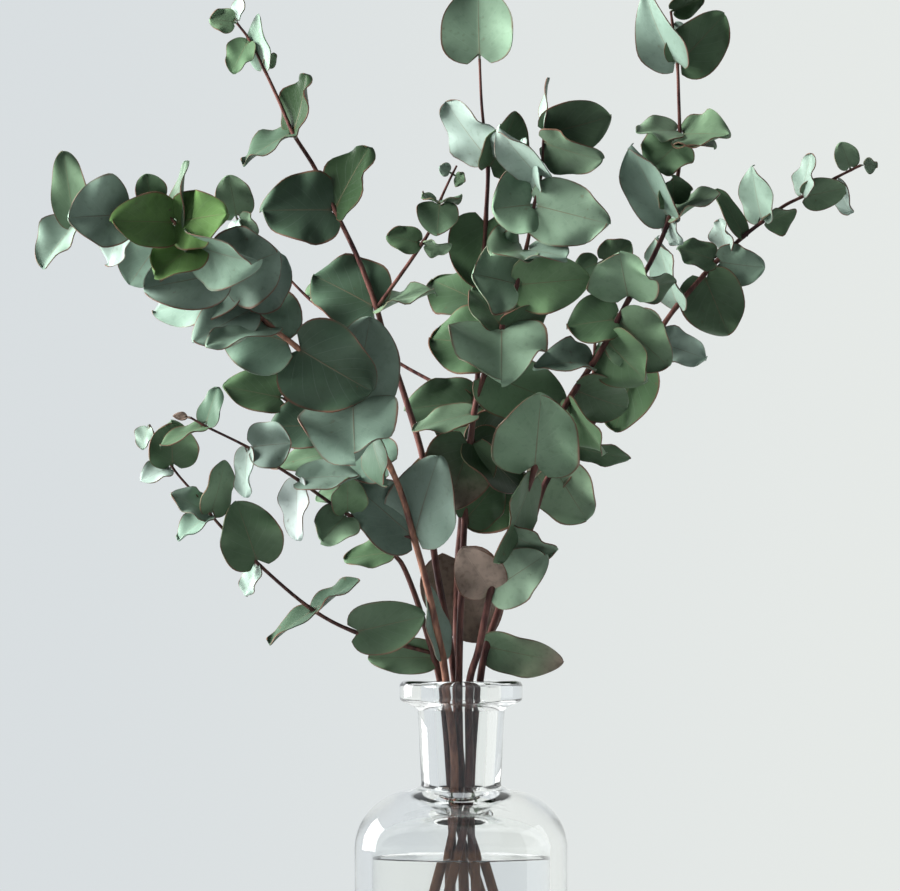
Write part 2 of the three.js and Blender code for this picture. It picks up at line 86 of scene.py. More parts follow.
# Stem routes: millimetres right of the bottle's axis, behind it, and above the lip.
# A blade is given by its place on the route, counted in points, then its heading in the picture plane
# (0 right, 90 up), lean towards the viewer, roll about the midrib, length, width, fold and curl,
# and its finish.
STEM_LEFT_TALL = {
    "node": "stem_left_tall",
    "slot": "leaf_blue_green",
    "route": [
        [26, 17, -176], [-1.9, 4.4, -56], [-3, 4, 0], [-13, 8, 62], [-17, 12, 100], [-26, 18, 132],
        [-37, 26, 165], [-40, 28, 176], [-49, 32, 200], [-60, 36, 223], [-70, 40, 244],
        [-80, 42, 260], [-87, 44, 276], [-94, 45, 291], [-101, 46, 305], [-107, 46, 313],
    ],
    "blades": [
        [15, 170, 10, 20, 13, 13, 8, 10, "green"],
        [15, 85, 0, -60, 13, 11, 8, 10, "pale"],
        [14, 240, 10, 30, 18, 15, 8, 10, "dark"],
        [13, 100, 10, -50, 26, 18, 10, 10, "blue"],
        [13, 55, 0, 40, 9, 8, 8, 0, "green"],
        [11, 203, 10, 68, 28, 26, 10, 20, "dusk"],
        [11, 70, 10, -60, 29, 26, 10, -15, "shade"],
        [9, 180, 15, 10, 35, 36, 8, 10, "dusk"],
        [9, 64, 20, -45, 35, 28, 12, 10, "shade"],
        [7, 150, -10, 24, 35, 38, 6, 10, "dusk"],
        [7, 20, 10, -66, 29, 28, 8, 10, "green"],
    ],
    "twigs": [
        {
            "route": [
                [-40, 28, 176], [-20, 22, 204], [-14, 20, 214], [-10, 18, 226], [-6, 17, 235],
                [-2, 16, 243],
            ],
            "blades": [
                [4.5, 150, 10, 20, 7, 8, 5, 0, "blue"],
                [4.5, 330, 10, 40, 7, 8, 5, 0, "dark"],
                [3, 165, 30, 75, 10, 12, 8, 0, "dark"],
                [3, 15, 30, 75, 12, 12, 8, 0, "dark"],
                [3, 265, 30, 5, 18, 20, 6, 10, "dark"],
                [1.2, 165, 10, 20, 17, 14, 8, 10, "dark"],
                [1.2, 350, 10, 60, 14, 13, 8, 10, "green"],
            ],
        },
    ],
}

STEM_LEFT_FRONT = {
    "node": "stem_left_front",
    "slot": "leaf_green",
    "route": [
        [-28, 13, -182], [-3.1, -4.4, -56], [-7, -6.5, 0], [-12, -12, 27], [-17, -16, 49],
        [-22, -20, 67], [-27, -26, 85], [-33, -32, 100], [-50, -44, 129], [-76, -56, 155],
        [-85, -60, 162], [-96, -64, 172], [-109, -70, 188], [-121, -76, 201], [-131, -80, 211],
        [-141, -84, 219], [-152, -87, 214], [-176, -87, 210],
    ],
    "blades": [
        [17, 100, -5, -15, 34, 18, 10, 5, "dark"],
        [17, 230, 5, 40, 25, 20, 25, 10, "blue"],
        [16, 183, 24, 10, 28, 32, 8, 10, "blue"],
        [16, 242, -34, 30, 30, 20, 10, 10, "pale"],
        [15, 100, 5, 15, 14, 15, 8, 10, "dark"],
        [13.8, 88, 4, -58, 30, 18, 10, 10, "dark"],
        [14, 180, 35, 5, 32, 26, 8, 10, "bright"],
        [14, 8, 40, -8, 30, 28, 8, 10, "bright"],
        [13, 215, 30, 30, 26, 26, 8, 10, "bright"],
        [13, 334, 45, 45, 37, 30, 20, 20, "blue"],
        [14, 230, -33, 10, 44, 30, 8, 10, "slate"],
        [12, 190, 5, 8, 37, 32, 8, 10, "slate"],
        [11.6, 192, -32, 20, 49, 28, 8, 10, "slate"],
        [12, 20, 25, 5, 29, 38, 8, 10, "blue"],
        [11.4, 40, -10, 10, 28, 30, 8, 10, "slate"],
        [11, 208, 12, 15, 31, 24, 8, 10, "slate"],
        [10.2, 190, 42, 58, 38, 20, 10, 15, "blue"],
        [9.2, 163, -10, 5, 36, 42, 8, 10, "slate"],
        [9, 328, 8, 12, 40, 44, 8, 15, "dusk"],
        [8, 78, 0, 10, 41, 36, 8, 10, "blue"],
        [8, 272, 50, 5, 36, 47, 8, 15, "slate"],
        [7.6, 282, 32, 52, 31, 20, 10, 10, "dusk"],
        [7, 160, -34, 15, 30, 26, 8, 10, "slate"],
        [5, 138, 8, 12, 38, 32, 8, 10, "slate"],
        [5, 75, 14, -20, 40, 36, 8, 10, "slate"],
        [2.4, 100, 6, 45, 34, 14, 10, 5, "blue"],
    ],
    "twigs": [
        {
            "route": [
                [-22, -20, 67], [-35, -22, 69], [-53, -24, 78], [-76, -26, 94], [-87, -27, 101],
                [-99, -28, 109], [-119, -29, 119], [-126, -29, 123],
            ],
            "blades": [
                [7, 175, 0, 30, 8, 4, 10, 0, "dry"],
                [6, 74, 10, -32, 19, 14, 10, 10, "dusk"],
                [6, 200, 10, 62, 23, 17, 10, 10, "dark"],
                [5, 8, 0, -30, 20, 28, 8, 10, "pale"],
                [5, 262, 0, 55, 23, 16, 10, 10, "pale"],
                [3, 8, 15, -45, 29, 22, 10, 15, "blue"],
                [3, 266, 5, 45, 28, 19, 10, 10, "white"],
                [2, 88, 38, 15, 20, 17, 8, 10, "green"],
                [2, 225, 35, 15, 20, 22, 8, 10, "green"],
            ],
        },
    ],
}

STEM_LEFT_LOW = {
    "node": "stem_left_low",
    "slot": "leaf_green",
    "route": [
        [-3, 31, -174], [-4.8, 0.4, -56], [-10, 0, 0], [-16, -1, 22], [-22, 0, 41], [-28, 3, 55],
        [-32, 5, 60], [-47, 10, 94], [-66, 14, 120], [-84, 16, 133],
    ],
    "blades": [
        [9, 168, 10, 15, 29, 22, 8, 10, "dark"],
        [8, 180, 10, 20, 24, 27, 8, 10, "dusk"],
        [7.5, 190, -10, 35, 36, 15, 8, 10, "dark"],
        [7, 200, -10, 35, 24, 17, 8, 10, "dark"],
        [6, 185, -10, 35, 24, 17, 8, 10, "dark"],
        [2.45, 180, 5, 5, 31, 17.5, 8, 10, "green"],
    ],
    "twigs": [
        {
            "route": [
                [-14, -0.6, 13], [-50, -8, 23], [-69, -12, 33], [-95, -16, 55], [-110, -18, 70],
                [-117, -19, 78], [-124, -17, 87], [-135, -14, 100], [-146, -12, 120],
            ],
            "blades": [
                [1, 12, 15, 10, 34, 26, 8, 10, "dark"],
                [2, 38, 10, -64, 26, 18, 10, 10, "dusk"],
                [2, 212, 10, 65, 26, 20, 10, 10, "dusk"],
                [3, 108, 15, 10, 31, 30, 8, 10, "dark"],
                [3, 245, 0, 50, 16, 14, 10, 10, "pale"],
                [5, 72, 10, 35, 26, 18, 10, 10, "green"],
                [5, 150, 15, 40, 21, 17, 10, 10, "blue"],
                [5, 215, 20, 50, 20, 16, 10, 10, "slate"],
                [7, 90, 20, 10, 22, 24, 8, 10, "dark"],
                [7, 200, 15, 40, 16, 14, 8, 10, "pale"],
                [8, 250, 10, 40, 12, 10, 8, 10, "blue"],
            ],
        },
    ],
}

STEM_CENTRE_BACK = {
    "node": "stem_centre_back",
    "slot": "leaf_blue_green",
    "route": [
        [30, -10, -172], [2.5, 4.6, -56], [-2, 9.5, 0], [-1, 22, 61], [3, 32, 99], [7, 40, 132],
        [10, 48, 179], [12, 54, 220], [13, 57, 244], [12, 58, 255], [10, 59, 275], [9, 60, 297],
    ],
    "blades": [
        [11, 92, 0, -14, 35, 37, 8, 10, "fresh"],
        [8.5, 130, 8, -46, 33, 31, 8, 10, "pale"],
        [8, 58, 15, 30, 30, 24, 25, 20, "dark"],
        [7, 262, 10, 5, 34, 33, 8, 10, "dark"],
        [6, 150, -35, 30, 34, 32, 8, 10, "dark"],
        [6, 20, -20, 30, 34, 32, 8, 10, "dark"],
        [5, 185, 10, 20, 34, 26, 8, 10, "dark"],
        [5, 225, -25, 15, 28, 26, 8, 10, "shade"],
        [4.4, 30, -10, 35, 34, 30, 8, 10, "shade"],
        [4, 335, -12, 35, 36, 32, 8, 10, "shade"],
        [4, 200, -5, 15, 34, 30, 8, 10, "shade"],
        [3.5, 20, 0, 10, 36, 30, 8, 10, "shade"],
        [2.95, 285, 0, 5, 42, 40, 8, 10, "dry"],
    ],
    "twigs": [
        {
            "route": [
                [6, 38, 124], [-5, 42, 136], [-30, 52, 151], [-64, 62, 175], [-73, 64, 182],
                [-100, 70, 211], [-108, 72, 221],
            ],
            "blades": [
                [6, 100, 10, 10, 21, 20, 8, 10, "green"],
                [6, 320, 20, 30, 13, 15, 8, 10, "dark"],
                [6, 262, 20, 50, 12, 13, 8, 10, "pale"],
                [4, 50, 0, -55, 20, 15, 8, 10, "green"],
            ],
        },
    ],
}

STEM_CENTRE_FRONT = {
    "node": "stem_centre_front",
    "slot": "leaf_green",
    "route": [
        [3, 2, -180], [0, 0, -56], [-1, -4, 0], [1, -10, 63], [2, -12, 81], [6, -18, 125],
        [11, -20, 144], [19, -22, 165], [26, -24, 185], [31, -26, 205], [34, -27, 222],
        [37, -28, 235], [38.5, -30, 255],
    ],
    "blades": [
        [12, 88, -12, -82, 27, 15, 5, 5, "blue"],
        [12, 12, 5, 20, 32, 26, 8, 15, "dark"],
        [11.8, 338, 28, 42, 31, 24, 10, 10, "dark"],
        [11, 139, 35, -50, 33, 22, 15, 15, "pale"],
        [10, 185, 20, 25, 20, 34, 10, 10, "fresh"],
        [10.5, 110, 5, -60, 25, 20, 10, 10, "pale"],
        [10, 344, 24, 5, 37, 32, 8, 15, "fresh"],
        [8.8, 185, 45, 60, 22, 26, 10, 10, "green"],
        [8.8, 352, 40, -60, 24, 24, 10, 10, "blue"],
        [8, 165, 20, 30, 22, 40, 8, 10, "fresh"],
        [8, 4, 8, 10, 34, 28, 8, 10, "green"],
        [7, 125, -18, 25, 25, 20, 8, 10, "dark"],
        [7, 15, 0, 40, 22, 18, 8, 10, "dark"],
        [7, 268, 46, 5, 32, 46, 12, 20, "fresh"],
        [6.6, 172, -15, 15, 32, 36, 8, 10, "dark"],
        [6, 338, -10, 10, 42, 32, 8, 10, "green"],
        [5, 192, 10, 45, 30, 18, 8, 10, "dark"],
        [4.7, 252, 2, 5, 34, 34, 10, -10, "tipped"],
        [4.7, 318, -8, -35, 33, 30, 8, 10, "shade"],
        [3.7, 48, 0, 20, 26, 22, 8, 10, "dark"],
    ],
    "twigs": [],
}

STEM_RIGHT_TALL = {
    "node": "stem_right_tall",
    "slot": "leaf_green",
    "route": [
        [-23, -21, -182], [2.6, -4.1, -56], [4, -8, 0], [8, -11, 14], [14, -14, 42], [24, -18, 71],
        [29, -20, 84], [35, -23, 101], [50, -28, 131], [65, -30, 154], [78, -30, 178],
        [89, -28, 197], [97, -26, 216], [100, -24, 230], [102, -22, 244], [102, -21, 255],
        [101.5, -20, 273], [101, -18, 288], [99, -17, 305], [98, -16, 313],
    ],
    "blades": [
        [19, 20, 20, 50, 17, 14, 10, 10, "dark"],
        [18.4, 300, -18, 40, 14, 12, 10, 10, "pale"],
        [17, 126, 20, -45, 35, 26, 20, 30, "slate"],
        [17, 46, 15, 10, 32, 27, 8, 10, "dark"],
        [15.1, 178, 25, 50, 22, 20, 10, 10, "green"],
        [15, 2, 30, -50, 25, 26, 10, 10, "green"],
        [14.8, 350, 40, -60, 20, 20, 10, 10, "green"],
        [14.7, 222, 25, 30, 20, 28, 8, 10, "green"],
        [12, 124, 15, -46, 38, 28, 20, 15, "slate"],
        [12.4, 88, 52, 30, 18, 18, 10, 10, "dark"],
        [12, 30, 10, -60, 26, 22, 10, 10, "green"],
        [12, 285, 20, 60, 14, 14, 10, 10, "pale"],
        [10, 105, 35, -25, 25, 34, 8, 10, "fresh"],
        [10.3, 4, -28, 45, 22, 16, 8, 10, "dark"],
        [9.6, 186, 0, 25, 24, 26, 8, 10, "dark"],
        [9.6, 316, 5, 15, 32, 29, 8, 10, "green"],
        [9.2, 312, 18, 25, 27, 28, 8, 10, "dark"],
        [8.7, 165, 30, 55, 26, 20, 20, 40, "blue"],
        [8.2, 340, -26, 20, 30, 26, 8, 10, "dark"],
        [6.9, 86, 35, -6, 39, 42, 8, 15, "fresh"],
        [8, 300, 0, 65, 30, 24, 8, 10, "green"],
        [6.6, 252, 12, -55, 42, 24, 10, 10, "dark"],
        [4, 125, 30, -12, 26, 24, 10, 15, "dry"],
        [4, 35, 25, -10, 32, 26, 10, 15, "fresh"],
        [4.9, 330, 20, 40, 22, 22, 15, 30, "green"],
    ],
    "twigs": [],
}

STEM_RIGHT_FAR = {
    "node": "stem_right_far",
    "slot": "leaf_blue_green",
    "route": [
        [9, -30, -176], [4.8, 0.5, -56], [9, 4, 0], [12, 5, 16], [25, 10, 52], [33, 14, 72],
        [41, 18, 95], [62, 26, 121], [84, 34, 150], [101, 38, 175], [112, 40, 188], [122, 42, 199],
        [135, 44, 211], [144, 45, 218], [155, 46, 226], [163, 46, 230], [179, 46, 239],
        [191, 46, 245],
    ],
    "blades": [
        [17, 5, 10, 50, 8, 10, 8, 0, "dark"],
        [16.6, 110, 10, 15, 14, 13, 8, 10, "green"],
        [16, 290, -12, 55, 19, 16, 10, 10, "pale"],
        [15, 10, 15, 15, 22, 16, 8, 10, "green"],
        [15, 82, 10, -60, 21, 16, 8, 10, "blue"],
        [13, 105, 15, -45, 27, 20, 10, 10, "blue"],
        [13, 15, 10, 60, 17, 16, 10, 10, "dark"],
        [12, 118, 5, 30, 26, 10, 8, 10, "dark"],
        [11, 160, 15, 35, 20, 18, 8, 10, "dark"],
        [11, 350, 15, 20, 23, 22, 8, 10, "blue"],
        [11.4, 110, 20, -60, 16, 16, 8, 10, "pale"],
        [10.4, 292, 0, 10, 31, 31, 8, 10, "dark"],
        [9.2, 112, 20, -60, 35, 24, 10, 10, "blue"],
        [8.6, 200, -22, 20, 36, 28, 8, 10, "dark"],
        [8.4, 345, 0, -35, 27, 20, 8, 10, "pale"],
        [8, 250, 4, 15, 34, 30, 8, 10, "dark"],
        [6.6, 345, 0, 40, 28, 14, 8, 10, "dark"],
        [6.5, 228, -8, 20, 28, 22, 8, 10, "tipped"],
        [6.2, 300, -10, 22, 30, 30, 8, 10, "green"],
        [3, 347, 15, 20, 37, 21, 8, 10, "turning"],
    ],
    "twigs": [
        {
            "route": [
                [62, 26, 121], [64, 44, 160], [67, 52, 199],
            ],
            "blades": [
                [2, 200, 10, 20, 14, 13, 8, 10, "dark"],
                [2, 30, 10, 15, 17, 17, 8, 10, "dark"],
            ],
        },
    ],
}

LEAFY_STEMS = [
    STEM_LEFT_TALL,
    STEM_LEFT_FRONT,
    STEM_LEFT_LOW,
    STEM_CENTRE_BACK,
    STEM_CENTRE_FRONT,
    STEM_RIGHT_TALL,
    STEM_RIGHT_FAR,
]


# Settings that a user would change
class BottleSettings(PropertyGroup):
    """Sizes of the bottle and its water"""

    body_top: FloatProperty(
        name="Body top", description="Height where the straight body ends",
        default=116 * MM, unit="LENGTH")
    shoulder_top: FloatProperty(
        name="Shoulder top", description="Height where the round shoulder meets the neck",
        default=144 * MM, unit="LENGTH")
    neck_low: FloatProperty(
        name="Neck foot", description="Outer radius at the neck's foot", default=18.7 * MM, unit="LENGTH")
    neck_high: FloatProperty(
        name="Neck head", description="Outer radius under the lip", default=20.5 * MM, unit="LENGTH")
    neck_top: FloatProperty(
        name="Neck top", description="Height of the lip's underside", default=182.5 * MM, unit="LENGTH")
    lip_radius: FloatProperty(
        name="Lip", description="Outer radius of the rolled lip", default=29 * MM, unit="LENGTH")
    wall: FloatProperty(
        name="Wall", description="Thickness of the glass", default=8 * MM, unit="LENGTH")
    bore_low: FloatProperty(
        name="Bore foot", description="Inner radius at the neck's foot", default=10.5 * MM, unit="LENGTH")
    bore_high: FloatProperty(
        name="Bore head", description="Inner radius under the lip", default=13 * MM, unit="LENGTH")
    floor: FloatProperty(
        name="Floor", description="Thickness of the glass floor", default=9 * MM, unit="LENGTH")
    rounding: FloatProperty(
        name="Rounding", description="Radius of the foot's edges", default=4 * MM, unit="LENGTH")
    water_level: FloatProperty(
        name="Water level", description="Height of the water's surface",
        default=WATER_HIGH.z, unit="LENGTH")
    spin_steps: IntProperty(name="Spin steps", description="Faces round the bottle", default=96)


class FoliageSettings(PropertyGroup):
    """Sizes and colours of the stems and blades"""

    stem_radius: FloatProperty(
        name="Stem", description="Radius of a stem at its cut foot", default=1.9 * MM, unit="LENGTH")
    stem_tip: FloatProperty(
        name="Stem tip", description="Radius of a stem at its tip", default=0.6 * MM, unit="LENGTH")
    twig_radius: FloatProperty(
        name="Twig", description="Radius of a twig at its root", default=1.0 * MM, unit="LENGTH")
    twig_tip: FloatProperty(
        name="Twig tip", description="Radius of a twig at its tip", default=0.5 * MM, unit="LENGTH")
    blade_thickness: FloatProperty(
        name="Blade", description="Thickness of a blade", default=0.5 * MM, unit="LENGTH")
    petiole: FloatProperty(
        name="Petiole", description="Length of a blade's short stalk", default=2.2 * MM, unit="LENGTH")
    edge_wave: FloatProperty(
        name="Edge wave", description="How far a blade's edge waves", default=2.3 * MM, unit="LENGTH")
    green: FloatVectorProperty(
        name="Green", description="Colour of a fresh blade", default=(0.1, 0.19, 0.06), subtype="COLOR")
    blue: FloatVectorProperty(
        name="Blue green", description="Colour of a waxy blade", default=(0.132, 0.21, 0.163),
        subtype="COLOR")
    # Painted shade: the dark green that blades are mixed towards by their shade share, also used for the
    # leaf's own dark mottles
    deep: FloatVectorProperty(
        name="Deep green", description="Colour of a dark blade", default=(0.02, 0.038, 0.018),
        subtype="COLOR")
    # The leaf's pale waxy coat, partly painted sheen; also the colour of the pale veins
    bloom: FloatVectorProperty(
        name="Bloom", description="Colour of the wax bloom", default=(0.45, 0.52, 0.505), subtype="COLOR")
    margin: FloatVectorProperty(
        name="Margin", description="Colour of a blade's rim", default=(0.11, 0.05, 0.035), subtype="COLOR")
    rib: FloatVectorProperty(
        name="Rib", description="Colour of a blade's midrib", default=(0.13, 0.1, 0.065), subtype="COLOR")
    dry: FloatVectorProperty(
        name="Dry", description="Colour of a dried blade", default=(0.26, 0.2, 0.165), subtype="COLOR")
    scorched: FloatVectorProperty(
        name="Scorched", description="Colour of a dried blade's dark blotches", default=(0.07, 0.05, 0.04),
        subtype="COLOR")
    bark_dark: FloatVectorProperty(
        name="Dark bark", description="Darker bark", default=(0.02, 0.008, 0.009), subtype="COLOR")
    bark_light: FloatVectorProperty(
        name="Light bark", description="Redder bark", default=(0.11, 0.05, 0.042), subtype="COLOR")
    # Painted light: a lighter, golden copy of the bark for the front stem, which the window lights
    lit_bark_dark: FloatVectorProperty(
        name="Dark ripe bark", description="Older bark in its furrows", default=(0.085, 0.04, 0.036),
        subtype="COLOR")
    lit_bark_light: FloatVectorProperty(
        name="Light ripe bark", description="Older golden bark", default=(0.3, 0.15, 0.1), subtype="COLOR")
    # Painted light: the lighter orange bark below the water
    bark_lit_in_water: FloatVectorProperty(
        name="Wet bark", description="Bark under the water", default=(0.21, 0.1, 0.05), subtype="COLOR")
    seed: IntProperty(name="Seed", description="Seed of the blades' small differences", default=7)


class StageSettings(PropertyGroup):
    """Camera, light and floor"""

    distance: FloatProperty(
        name="Distance", description="Camera to the bottle's axis", default=2.8, unit="LENGTH")
    eye_height: FloatProperty(
        name="Eye height", description="Camera's height", default=0.261, unit="LENGTH")
    eye_aside: FloatProperty(
        name="Eye aside", description="Camera's place across", default=-5.2 * MM, unit="LENGTH")
    frame_width: FloatProperty(
        name="Frame width", description="Width seen at the bottle's axis", default=0.423, unit="LENGTH")
    lift: FloatProperty(name="Lift", description="Camera's upward shift", default=0.105)
    floor_radius: FloatProperty(
        name="Floor", description="Radius of the pale floor", default=1.1, unit="LENGTH")
    ambient: FloatProperty(
        name="Ambient", description="Share of the surround's light that falls on dull surfaces",
        default=0.06)
    window_power: FloatProperty(name="Window", description="Power of the light on the left", default=220.0)
    back_power: FloatProperty(
        name="Back window", description="Power of the light behind, on the left", default=22.0)
    side_power: FloatProperty(name="Side", description="Power of the light on the right", default=7.0)
    fill_power: FloatProperty(name="Fill", description="Power of the light in front", default=3.5)
    backdrop: FloatVectorProperty(
        name="Backdrop", description="Colour behind the object", default=(0.69, 0.73, 0.75),
        subtype="COLOR")
    room: FloatVectorProperty(
        name="Room", description="Colour of the room on the viewer's side", default=(0.4, 0.42, 0.44),
        subtype="COLOR")
    backdrop_right: FloatVectorProperty(
        name="Backdrop right", description="Colour behind, on the right", default=(0.79, 0.82, 0.8),
        subtype="COLOR")
    floor_dark: FloatVectorProperty(
        name="Floor, darker", description="Darker paint of the floor", default=(0.44, 0.455, 0.46),
        subtype="COLOR")
    floor_light: FloatVectorProperty(
        name="Floor, lighter", description="Lighter paint of the floor", default=(0.47, 0.48, 0.48),
        subtype="COLOR")


# Shader sums written as Python
class Value:
    """A node's output that takes part in sums"""

    def __init__(self, nodes, socket):
        self.nodes = nodes
        self.socket = socket

    def math(self, operation, other=0.0, swapped=False):
        first, second = (other, self) if swapped else (self, other)
        return self.nodes.node("ShaderNodeMath", {"operation": operation}, {0: first, 1: second})

    def __add__(self, other):
        return self.math("ADD", other)

    __radd__ = __add__

    def __sub__(self, other):
        return self.math("SUBTRACT", other)

    def __rsub__(self, other):
        return self.math("SUBTRACT", other, swapped=True)

    def __mul__(self, other):
        return self.math("MULTIPLY", other)

    __rmul__ = __mul__

    def __abs__(self):
        return self.math("ABSOLUTE")

    def fraction(self):
        return self.math("FRACT")

    def step(self, low, high):
        """Rises smoothly from 0 at low to 1 at high"""
        return self.nodes.node(
            "ShaderNodeMapRange", {"interpolation_type": "SMOOTHSTEP"},
            {"Value": self, "From Min": low, "From Max": high})


class Nodes:
    """A node tree, and the nodes that are added to it"""

    def __init__(self, tree):
        self.tree = tree

    def node(self, kind, settings=None, inputs=None, out=0):
        """Adds one node with its settings and inputs, and gives one of its outputs"""
        made = self.tree.nodes.new(kind)
        for key, value in (settings or {}).items():
            setattr(made, key, value)
        for key, value in (inputs or {}).items():
            self.feed(made.inputs[key], value)
        return Value(self, made.outputs[out])

    def feed(self, socket, value):
        """Links an output to a socket, or sets a plain value on it"""
        if isinstance(value, Value):
            self.tree.links.new(value.socket, socket)
        else:
            socket.default_value = value

    def mix(self, share, first, second):
        """Mixes two colours"""
        return self.node("ShaderNodeMix", {"data_type": "RGBA"}, {0: share, 6: first, 7: second}, out=2)

    def axis(self, vector, number):
        """One of a vector's three numbers"""
        return self.node("ShaderNodeSeparateXYZ", inputs={0: vector}, out=number)


class Finish(Nodes):
    """A material with one principled shader, and the nodes that feed it"""

    def __init__(self, name):
        self.material = bpy.data.materials.new(name)
        self.material.use_nodes = True
        super().__init__(self.material.node_tree)
        self.shader = next(n for n in self.tree.nodes if n.type == "BSDF_PRINCIPLED")

    def set(self, **sockets):
        """Feeds the shader's sockets, named with an underscore for each space"""
        for key, value in sockets.items():
            self.feed(self.shader.inputs[key.replace("_", " ")], value)

    def attribute(self, name):
        return self.node("ShaderNodeAttribute", {"attribute_name": name}, out="Fac")

    def object_place(self):
        return self.node("ShaderNodeTexCoord", out="Object")

    def noise(self, place, scale, detail=3.0):
        return self.node("ShaderNodeTexNoise", inputs={"Vector": place, "Scale": scale, "Detail": detail})

    def bump(self, height, strength, distance):
        return self.node(
            "ShaderNodeBump", inputs={"Strength": strength, "Distance": distance, "Height": height})


def opaque(colour):
    """A colour with full cover"""
    return (*colour, 1.0)


DULL_SPECULAR = 0.16

# Leaf pattern: noise scales per metre, then for each mark where it starts and is full, and its share
BLOTCH_SCALE = 45.0
FLECK_SCALE = 380.0
# The pale coat, real waxy coat and painted sheen: an even share and a patchy one
WAX_AND_SHEEN_EVEN = 0.5
WAX_AND_SHEEN_PATCHY = 0.9
UNDERSIDE_WAX_AND_SHEEN = 0.85
UNDERSIDE_PALE = 0.06
DARK_BLOTCH = (0.4, 0.75)
DARK_BLOTCH_SHARE = 0.4
DARK_FLECK = (0.5, 0.72)
DARK_FLECK_SHARE = 0.13
VEIN_COUNT = 9.0
VEIN_SLANT = 3.2
VEIN_EDGE = (0.0, 0.06)
VEIN_END = (0.6, 0.95)
VEIN_SHARE = 0.04
RIB_EDGE = (0.008, 0.035)
RIB_SHARE = 0.85
RIB_FADE = 0.5
SPECK_FLECK = (0.66, 0.72)
SPECK_BLOTCH = (0.5, 0.6)
SPECK_SHARE = 0.3
FLUSH_REACH = (0.05, 0.3)
FLUSH_SHARE = 0.35
DRY_EVEN = 0.5
DRY_PATCHY = 0.4
DRY_TIPWARD = 0.75
BROWN_EDGE = (0.4, 0.75)
SCORCH_BLOTCH = (0.4, 0.62)
SCORCH_BLOTCH_SHARE = 0.55
SCORCH_FLECK = (0.45, 0.7)
SCORCH_FLECK_SHARE = 0.3
RIM_EDGE = (0.95, 0.985)
RIM_BLOTCH = (0.3, 0.55)
RIM_SHARE = 0.85
BLOTCH_RELIEF = 4.0
RIB_RELIEF = 0.8
VEIN_RELIEF = 0.25
FLECK_RELIEF = 0.1
LEAF_BUMP = 0.4
LEAF_BUMP_DEPTH = 0.25 * MM
LEAF_ROUGHNESS = 0.36
BLOTCH_ROUGHNESS = 0.16
WAX_AND_SHEEN_ROUGHNESS = 0.15


def leaf_finish(name, settings, under):
    """Waxy leaf: faint veins, a pale waxy coat that is partly painted sheen, painted shade, a thin
    red-brown rim and dry patches
    """
    finish = Finish(name)
    chart = finish.node("ShaderNodeUVMap", {"uv_map": "UVMap"})
    along = finish.axis(chart, 0)
    across = finish.axis(chart, 1)
    off_rib = abs(across * 2.0 - 1.0)
    place = finish.object_place()
    blotch = finish.noise(place, BLOTCH_SCALE)
    fleck = finish.noise(place, FLECK_SCALE)
    tone, bloom, dry, deep = [finish.attribute(look) for look in LOOKS]

    fresh = finish.mix(tone, opaque(settings.green), opaque(settings.blue))
    # Painted shade: the green is mixed towards the dark shade green by the blade's shade share
    painted_shade = finish.mix(deep, fresh, opaque(settings.deep))
    # Pale coat: the real waxy coat and painted sheen, patchy with the blotches
    wax_and_sheen = bloom * (WAX_AND_SHEEN_EVEN + blotch * WAX_AND_SHEEN_PATCHY)
    if under:
        wax_and_sheen = wax_and_sheen * UNDERSIDE_WAX_AND_SHEEN + UNDERSIDE_PALE
    coated = finish.mix(wax_and_sheen, painted_shade, opaque(settings.bloom))
    # The dark mottles are the leaf's own pattern, in the same dark green
    shade = blotch.step(*DARK_BLOTCH) * DARK_BLOTCH_SHARE + fleck.step(*DARK_FLECK) * DARK_FLECK_SHARE
    shaded = finish.mix(shade, coated, opaque(settings.deep))

    branch = (along * VEIN_COUNT - off_rib * VEIN_SLANT).fraction()
    side_vein = (1.0 - abs(branch - 0.5).step(*VEIN_EDGE)) * (1.0 - off_rib.step(*VEIN_END))
    rib = 1.0 - off_rib.step(*RIB_EDGE)
    veined = finish.mix(side_vein * VEIN_SHARE, shaded, opaque(settings.bloom))
    speck = fleck.step(*SPECK_FLECK) * blotch.step(*SPECK_BLOTCH) * SPECK_SHARE
    specked = finish.mix(speck, veined, opaque(settings.margin))
    flush = (1.0 - along.step(*FLUSH_REACH)) * (1.0 - off_rib.step(*FLUSH_REACH)) * FLUSH_SHARE
    flushed = finish.mix(flush, specked, opaque(settings.margin))
    ribbed = finish.mix(rib * (RIB_SHARE - along * RIB_FADE), flushed, opaque(settings.rib))

    dryness = dry * dry * DRY_EVEN + dry * (blotch * DRY_PATCHY + along * DRY_TIPWARD)
    browned = dryness.step(*BROWN_EDGE)
    scorched_blotch = blotch.step(*SCORCH_BLOTCH) * SCORCH_BLOTCH_SHARE
    scorch = scorched_blotch + fleck.step(*SCORCH_FLECK) * SCORCH_FLECK_SHARE
    parched = finish.mix(scorch, opaque(settings.dry), opaque(settings.scorched))
    withered = finish.mix(browned, ribbed, parched)
    rim = off_rib.step(*RIM_EDGE) * blotch.step(*RIM_BLOTCH) * RIM_SHARE
    rimmed = finish.mix(rim, withered, opaque(settings.margin))
    ridges = rib * RIB_RELIEF + side_vein * VEIN_RELIEF
    relief = blotch * BLOTCH_RELIEF + ridges + fleck * FLECK_RELIEF

    finish.set(
        Base_Color=rimmed,
        Specular_IOR_Level=DULL_SPECULAR,
        Roughness=LEAF_ROUGHNESS + blotch * BLOTCH_ROUGHNESS + wax_and_sheen * WAX_AND_SHEEN_ROUGHNESS,
        Normal=finish.bump(relief, LEAF_BUMP, LEAF_BUMP_DEPTH))
    return finish.material


